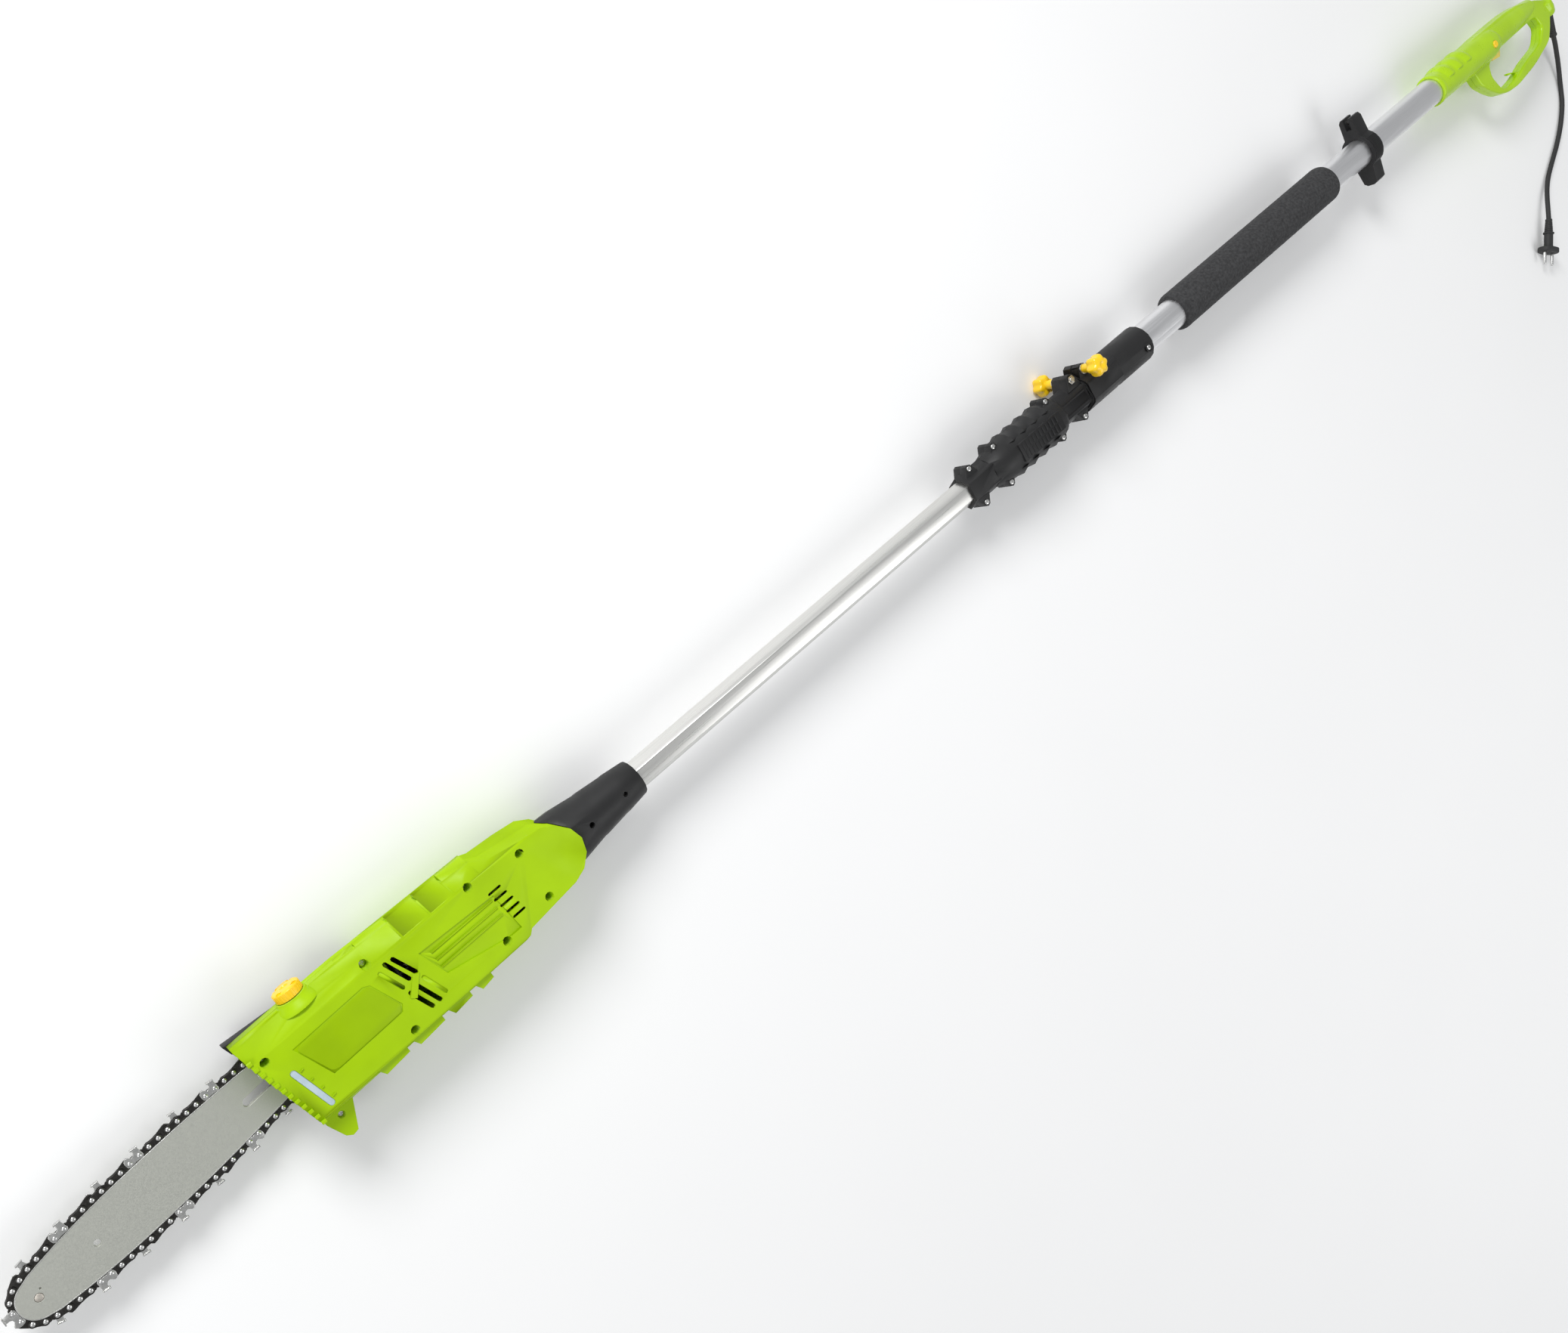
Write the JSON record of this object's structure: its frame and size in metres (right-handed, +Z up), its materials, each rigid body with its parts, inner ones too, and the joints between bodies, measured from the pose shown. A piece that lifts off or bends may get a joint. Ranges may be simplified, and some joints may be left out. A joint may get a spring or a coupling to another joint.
{
  "type": "telescoping pole saw",
  "caption": "Corded electric pole saw: guide bar and chain on a motor head, telescoping aluminium pole with clamp knobs, foam grip, strap eye, D-handle with trigger, short lead with plug.",
  "frame": {"origin": "centre of the saw's bounding box in plan, without its cord, on the surface the saw lies on", "axes": "+X along the pole from the saw head to the handle, +Z up with the guide bar, D-handle and clamshell splits parallel to XY, +Y towards the oil cap"},
  "size_m": [2.6157, 0.4292, 0.0905],
  "materials": {
    "green_shell": "moulded lime green plastic with a fine satin texture",
    "black_plastic": "moulded black plastic, satin",
    "yellow_plastic": "moulded yellow plastic, semi-gloss",
    "pole_aluminium": "satin anodised aluminium tube",
    "bar_steel": "fine blasted steel",
    "chain_steel": "oiled dark steel with polished rivets",
    "gear_steel": "machined steel",
    "bright_steel": "zinc plated steel",
    "winding_copper": "lacquered copper winding and steel laminations",
    "foam": "fine celled foam rubber",
    "rubber": "soft black PVC",
    "tank_plastic": "translucent natural polyethylene"
  },
  "bodies": {
    "handle_pole": {"outer_pole": "pole_aluminium", "socket_sleeve": "black_plastic", "sleeve_screw": "bright_steel", "knob_2_nut": "bright_steel", "foam_grip": "foam", "handle_front": "green_shell", "handle_back": "green_shell", "power_switch": "black_plastic", "trigger_pin": "bright_steel", "strain_relief": "rubber", "power_cord": "rubber", "plug_body": "rubber", "plug_pin_1": "bright_steel", "plug_pin_2": "bright_steel"},
    "strap_eye": {"strap_clamp": "black_plastic", "strap_pin": "bright_steel"},
    "trigger_lever": {"trigger": "yellow_plastic"},
    "lock_off": {"lock_button": "yellow_plastic"},
    "knob_2_thread": {"knob_2_washer": "bright_steel"},
    "knob_2_grip": {"knob_2": "yellow_plastic"},
    "coupling": {"coupling_front": "black_plastic", "coupling_back": "black_plastic", "coupling_screw": "bright_steel", "knob_1_nut": "bright_steel"},
    "knob_1_thread": {"knob_1_washer": "bright_steel"},
    "knob_1_grip": {"knob_1": "yellow_plastic"},
    "saw_head": {"inner_pole": "pole_aluminium", "neck_front": "black_plastic", "neck_back": "black_plastic", "housing_front": "green_shell", "housing_back": "green_shell", "sprocket_cover": "black_plastic", "cover_nut": "bright_steel", "bar_stud": "bright_steel", "oil_tank": "tank_plastic", "oil_pump": "pole_aluminium", "motor_stator": "winding_copper", "front_bearing": "bright_steel", "rear_bearing": "bright_steel", "gear_bearing": "bright_steel", "brush_upper": "gear_steel", "brush_lower": "gear_steel", "housing_screw": "bright_steel"},
    "rotor": {"motor_armature": "gear_steel", "commutator": "winding_copper", "cooling_fan": "black_plastic", "motor_pinion": "gear_steel"},
    "drive": {"crown_gear": "gear_steel", "sprocket_shaft": "gear_steel", "drive_sprocket": "gear_steel"},
    "bar": {"guide_bar": "bar_steel", "saw_chain": "chain_steel", "nose_rivet": "bright_steel", "tension_pin": "bright_steel"},
    "tip_sprocket": {"nose_sprocket": "gear_steel"},
    "tensioner": {"tension_screw": "bright_steel"},
    "cap_thread": {"oil_cap_seal": "rubber"},
    "cap_grip": {"oil_cap": "yellow_plastic"}
  },
  "joints": [
    {"name": "coupling_release", "type": "slide", "parent": "handle_pole", "child": "coupling", "axis": [-1, 0, 0], "range_m": [0, 0.06]},
    {"name": "telescope", "type": "slide", "parent": "coupling", "child": "saw_head", "axis": [-1, 0, 0], "range_m": [-0.49, 0.2]},
    {"name": "knob_1_travel", "type": "slide", "parent": "coupling", "child": "knob_1_thread", "axis": [0, 0, -1], "range_m": [0, 0.003]},
    {"name": "knob_1_turn", "type": "hinge", "parent": "knob_1_thread", "child": "knob_1_grip", "pos_m": [0.10325, 0.0315, 0.0145], "axis": [0, 0, -1], "range_deg": [0, 1081]},
    {"name": "knob_2_travel", "type": "slide", "parent": "handle_pole", "child": "knob_2_thread", "axis": [0, 0, 1], "range_m": [0, 0.003]},
    {"name": "knob_2_turn", "type": "hinge", "parent": "knob_2_thread", "child": "knob_2_grip", "pos_m": [0.12725, 0.0325, 0.0745], "axis": [0, 0, 1], "range_deg": [0, 1081]},
    {"name": "trigger_pull", "type": "hinge", "parent": "handle_pole", "child": "trigger_lever", "pos_m": [1.09325, -0.004, 0.0445], "axis": [0, 0, 1], "range_deg": [0, 11], "stiffness_Nm_per_rad": 0.5, "springref_deg": -11.46},
    {"name": "lock_off_press", "type": "slide", "parent": "handle_pole", "child": "lock_off", "axis": [0, 0, -1], "range_m": [0, 0.003], "stiffness_N_per_m": 600, "springref_m": -0.002},
    {"name": "strap_eye_slide", "type": "slide", "parent": "handle_pole", "child": "strap_eye", "axis": [1, 0, 0], "range_m": [-0.07, 0.15]},
    {"name": "motor_spin", "type": "hinge", "parent": "saw_head", "child": "rotor", "pos_m": [-0.84875, 0.01317, 0.0425], "axis": [1, 0, 0], "continuous": true},
    {"name": "drive_spin", "type": "hinge", "parent": "saw_head", "child": "drive", "pos_m": [-0.95475, 0.01317, 0.0445], "axis": [0, 0, 1], "continuous": true},
    {"name": "tip_spin", "type": "hinge", "parent": "bar", "child": "tip_sprocket", "pos_m": [-1.27177, -0.004, 0.0305], "axis": [0, 0, 1], "continuous": true},
    {"name": "bar_tension", "type": "slide", "parent": "saw_head", "child": "bar", "axis": [0.9985, 0.0541, 0], "range_m": [0, 0.002]},
    {"name": "tension_turn", "type": "hinge", "parent": "saw_head", "child": "tensioner", "pos_m": [-1.04275, 0.0202, 0.0399], "axis": [1, 0, 0], "range_deg": [0, 1030]},
    {"name": "oil_cap_lift", "type": "slide", "parent": "saw_head", "child": "cap_thread", "axis": [0, 1, 0], "range_m": [0, 0.008]},
    {"name": "oil_cap_turn", "type": "hinge", "parent": "cap_thread", "child": "cap_grip", "pos_m": [-0.98175, 0.0665, 0.0525], "axis": [0, 1, 0], "range_deg": [0, 721]}
  ],
  "couplings": [
    {"joint": "knob_1_turn", "follows": "knob_1_travel", "rad_per_m": 6283.2},
    {"joint": "knob_2_turn", "follows": "knob_2_travel", "rad_per_m": 6283.2},
    {"joint": "oil_cap_turn", "follows": "oil_cap_lift", "rad_per_m": 1570.8},
    {"joint": "tension_turn", "follows": "bar_tension", "rad_per_m": 8976},
    {"joint": "drive_spin", "follows": "motor_spin", "ratio": -0.25},
    {"joint": "tip_spin", "follows": "motor_spin", "ratio": -0.21429}
  ]
}
